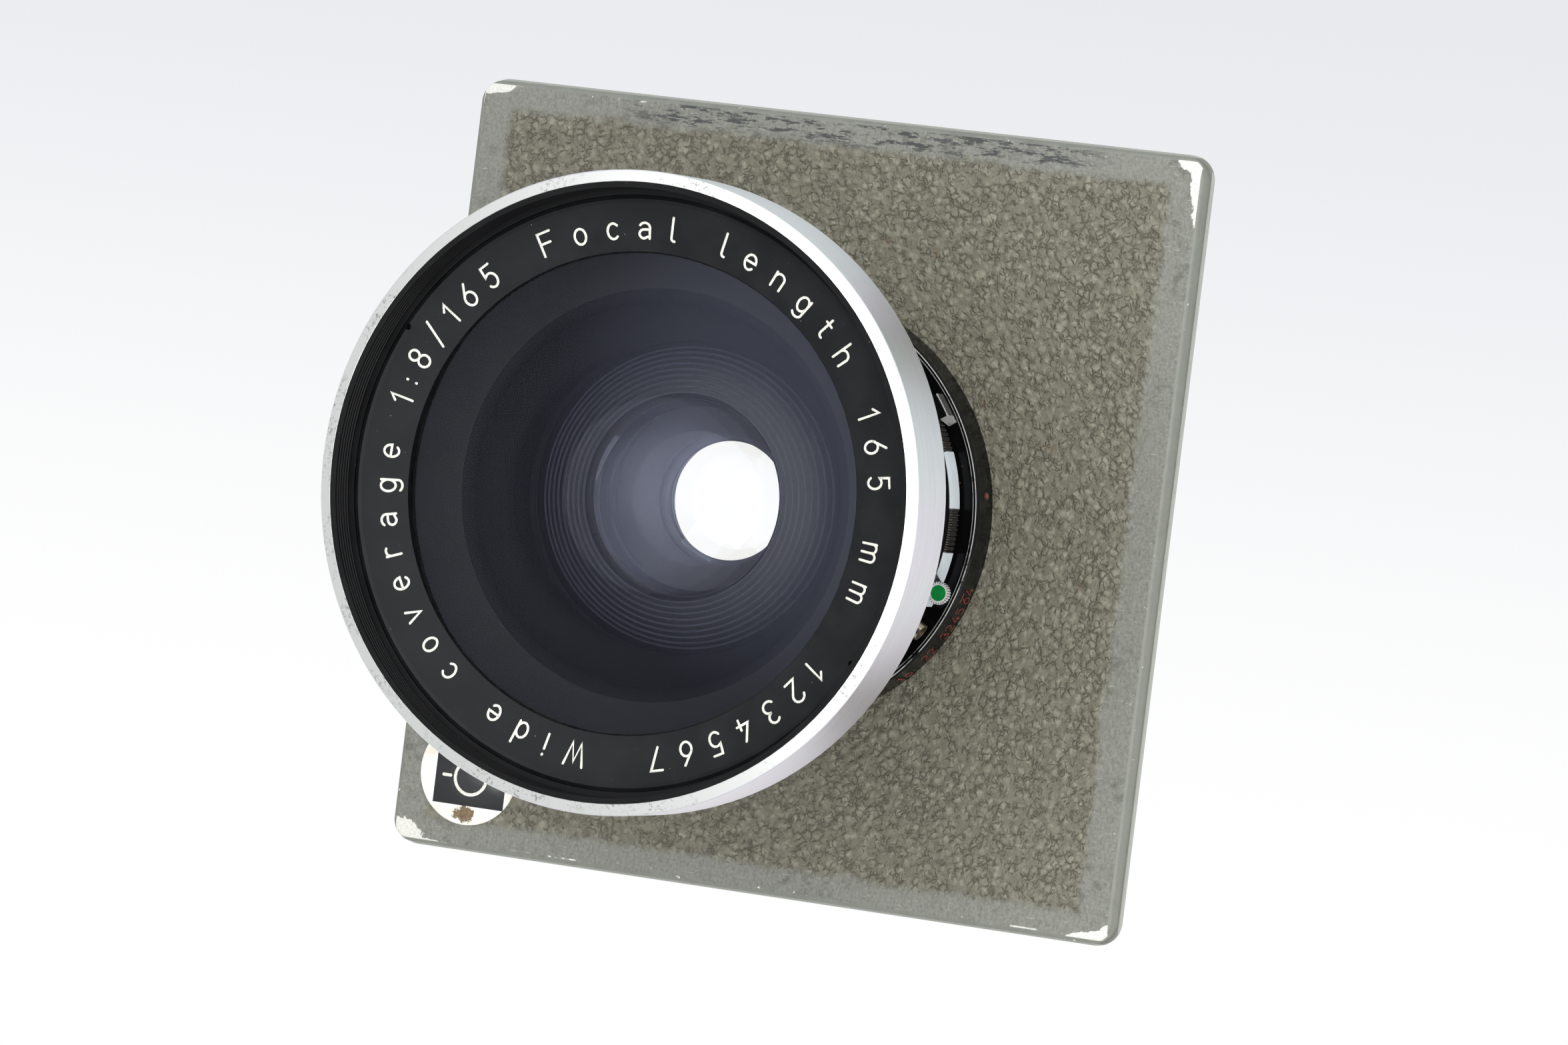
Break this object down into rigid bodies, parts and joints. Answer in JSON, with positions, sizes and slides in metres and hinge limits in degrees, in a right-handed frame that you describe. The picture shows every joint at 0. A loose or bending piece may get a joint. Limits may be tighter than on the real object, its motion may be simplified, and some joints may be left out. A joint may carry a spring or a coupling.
{
  "type": "large format lens in a leaf shutter on a lens board",
  "caption": "Wide-angle view-camera lens in a leaf shutter, screwed to a square metal lens board, with iris, shutter blades, setting rings and levers that move.",
  "frame": {"origin": "on the optical axis, in the plane of the rear rim that the lens stands on", "axes": "+Z along the optical axis, towards the front of the lens; +X to the right and +Y up as the lens is seen from the front"},
  "size_m": [0.141, 0.141, 0.133],
  "materials": {
    "badge": "white enamel",
    "black_lacquer": "glossy black lacquer",
    "black_metal": "satin black anodised",
    "blade_steel": "blued steel",
    "board_paint": "hammered grey-green lacquer, worn smooth at the edges",
    "brass": "machined",
    "bright_metal": "satin bright",
    "enamel": "green enamel",
    "glass": "coated",
    "glass_front": "coated, bluish",
    "insulator": "brown",
    "nickel": "dull nickel",
    "speed_metal": "black with bright pads",
    "steel": "brushed"
  },
  "bodies": {
    "case": {"lens_board": "board_paint", "board_badge": "badge", "board_retaining_ring": "black_metal", "locating_screw": "steel", "shutter_housing": "black_lacquer", "blade_plate": "black_metal", "mechanism_pillars": "brass", "mechanism_plate": "brass", "mechanism_screws": "steel", "front_cover": "black_lacquer", "cover_screws": "steel", "speed_retainer": "black_metal", "sync_pivot_screw": "steel", "sync_socket": "nickel", "sync_insulator": "insulator", "sync_contact": "brass", "cable_socket": "nickel", "release_pivot": "steel", "detent_spring": "steel", "shutter_spring": "steel", "front_barrel": "black_metal", "filter_sleeve": "bright_metal", "name_ring": "black_metal", "front_meniscus": "glass_front", "front_baffle": "black_metal", "front_crown": "glass", "front_flint": "glass", "front_doublet_ring": "black_metal", "rear_barrel": "black_metal", "rear_crown": "glass", "rear_flint": "glass", "rear_doublet_ring": "black_metal", "rear_baffle": "black_metal", "rear_meniscus": "glass_front", "rear_retaining_ring": "black_metal"},
    "aperture": {"aperture_ring": "black_lacquer", "iris_ring": "brass"},
    "shutter_drive": {"shutter_ring": "brass"},
    "cocking": {"cocking_ring": "black_lacquer"},
    "speed": {"speed_ring": "speed_metal"},
    "sync": {"sync_lever": "steel", "sync_knob": "steel", "sync_enamel": "enamel"},
    "cable": {"cable_plunger": "steel"},
    "release": {"release_lever": "black_lacquer"},
    "retard_wheel_1": {"gear_1": "brass"},
    "retard_wheel_2": {"gear_2": "brass"},
    "retard_wheel_3": {"escape_wheel": "brass"},
    "retard_pallet": {"pallet": "steel"},
    "iris_1": {"iris_blade_1": "blade_steel"},
    "blade_1": {"shutter_blade_1": "blade_steel"},
    "iris_2": {"iris_blade_2": "blade_steel"},
    "blade_2": {"shutter_blade_2": "blade_steel"},
    "iris_3": {"iris_blade_3": "blade_steel"},
    "blade_3": {"shutter_blade_3": "blade_steel"},
    "iris_4": {"iris_blade_4": "blade_steel"},
    "blade_4": {"shutter_blade_4": "blade_steel"},
    "iris_5": {"iris_blade_5": "blade_steel"},
    "blade_5": {"shutter_blade_5": "blade_steel"}
  },
  "joints": [
    {"name": "aperture_turn", "type": "hinge", "parent": "case", "child": "aperture", "pos_m": [0, 0, 0.055], "axis": [0, 0, 1], "range_deg": [0, 55.2]},
    {"name": "iris_blade_1_turn", "type": "hinge", "parent": "case", "child": "iris_1", "pos_m": [0.02, 0, 0.0499], "axis": [0, 0, 1], "range_deg": [0, 28.3]},
    {"name": "iris_blade_2_turn", "type": "hinge", "parent": "case", "child": "iris_2", "pos_m": [0.00618, 0.01902, 0.0499], "axis": [0, 0, 1], "range_deg": [0, 28.3]},
    {"name": "iris_blade_3_turn", "type": "hinge", "parent": "case", "child": "iris_3", "pos_m": [-0.01618, 0.01176, 0.0499], "axis": [0, 0, 1], "range_deg": [0, 28.3]},
    {"name": "iris_blade_4_turn", "type": "hinge", "parent": "case", "child": "iris_4", "pos_m": [-0.01618, -0.01176, 0.0499], "axis": [0, 0, 1], "range_deg": [0, 28.3]},
    {"name": "iris_blade_5_turn", "type": "hinge", "parent": "case", "child": "iris_5", "pos_m": [0.00618, -0.01902, 0.0499], "axis": [0, 0, 1], "range_deg": [0, 28.3]},
    {"name": "shutter_ring_turn", "type": "hinge", "parent": "case", "child": "shutter_drive", "pos_m": [0, 0, 0.0548], "axis": [0, 0, 1], "range_deg": [0, 24]},
    {"name": "shutter_blade_1_turn", "type": "hinge", "parent": "case", "child": "blade_1", "pos_m": [0.01618, 0.01176, 0.053], "axis": [0, 0, 1], "range_deg": [0, 37.4]},
    {"name": "shutter_blade_2_turn", "type": "hinge", "parent": "case", "child": "blade_2", "pos_m": [-0.00618, 0.01902, 0.053], "axis": [0, 0, 1], "range_deg": [0, 37.4]},
    {"name": "shutter_blade_3_turn", "type": "hinge", "parent": "case", "child": "blade_3", "pos_m": [-0.02, 0, 0.053], "axis": [0, 0, 1], "range_deg": [0, 37.4]},
    {"name": "shutter_blade_4_turn", "type": "hinge", "parent": "case", "child": "blade_4", "pos_m": [-0.00618, -0.01902, 0.053], "axis": [0, 0, 1], "range_deg": [0, 37.4]},
    {"name": "shutter_blade_5_turn", "type": "hinge", "parent": "case", "child": "blade_5", "pos_m": [0.01618, -0.01176, 0.053], "axis": [0, 0, 1], "range_deg": [0, 37.4]},
    {"name": "cocking_turn", "type": "hinge", "parent": "case", "child": "cocking", "pos_m": [0, 0, 0.0577], "axis": [0, 0, 1], "range_deg": [0, 45], "stiffness_Nm_per_rad": 0.02, "springref_deg": -17.19},
    {"name": "speed_turn", "type": "hinge", "parent": "case", "child": "speed", "pos_m": [0, 0, 0.0597], "axis": [0, 0, 1], "range_deg": [0, 130]},
    {"name": "sync_turn", "type": "hinge", "parent": "case", "child": "sync", "pos_m": [0.02834, -0.00298, 0.0644], "axis": [0, 0, 1], "range_deg": [0, 40]},
    {"name": "release_turn", "type": "hinge", "parent": "case", "child": "release", "pos_m": [-0.02858, 0.0165, 0.0578], "axis": [0, 0, 1], "range_deg": [-9, 0], "stiffness_Nm_per_rad": 0.01, "springref_deg": 11.46},
    {"name": "cable_push", "type": "slide", "parent": "case", "child": "cable", "axis": [0.9659, -0.2588, 0], "range_m": [0, 0.0018], "stiffness_N_per_m": 200, "springref_m": -0.002},
    {"name": "retard_1_turn", "type": "hinge", "parent": "case", "child": "retard_wheel_1", "pos_m": [0.02157, 0.02157, 0.0522], "axis": [0, 0, 1], "range_deg": [0, 60]},
    {"name": "retard_2_turn", "type": "hinge", "parent": "case", "child": "retard_wheel_2", "pos_m": [0.01864, 0.02414, 0.0522], "axis": [0, 0, 1], "range_deg": [-136, 0]},
    {"name": "retard_3_turn", "type": "hinge", "parent": "case", "child": "retard_wheel_3", "pos_m": [0.01541, 0.02632, 0.0522], "axis": [0, 0, 1], "range_deg": [0, 305]},
    {"name": "pallet_turn", "type": "hinge", "parent": "case", "child": "retard_pallet", "pos_m": [0.01192, 0.02807, 0.0522], "axis": [0, 0, 1], "range_deg": [-3, 3]}
  ],
  "couplings": [
    {"joint": "iris_blade_1_turn", "follows": "aperture_turn", "ratio": 0.51087},
    {"joint": "iris_blade_2_turn", "follows": "aperture_turn", "ratio": 0.51087},
    {"joint": "iris_blade_3_turn", "follows": "aperture_turn", "ratio": 0.51087},
    {"joint": "iris_blade_4_turn", "follows": "aperture_turn", "ratio": 0.51087},
    {"joint": "iris_blade_5_turn", "follows": "aperture_turn", "ratio": 0.51087},
    {"joint": "shutter_blade_1_turn", "follows": "shutter_ring_turn", "ratio": 1.5542},
    {"joint": "shutter_blade_2_turn", "follows": "shutter_ring_turn", "ratio": 1.5542},
    {"joint": "shutter_blade_3_turn", "follows": "shutter_ring_turn", "ratio": 1.5542},
    {"joint": "shutter_blade_4_turn", "follows": "shutter_ring_turn", "ratio": 1.5542},
    {"joint": "shutter_blade_5_turn", "follows": "shutter_ring_turn", "ratio": 1.5542},
    {"joint": "retard_2_turn", "follows": "retard_1_turn", "ratio": -2.25},
    {"joint": "retard_3_turn", "follows": "retard_1_turn", "ratio": 5.0625}
  ]
}
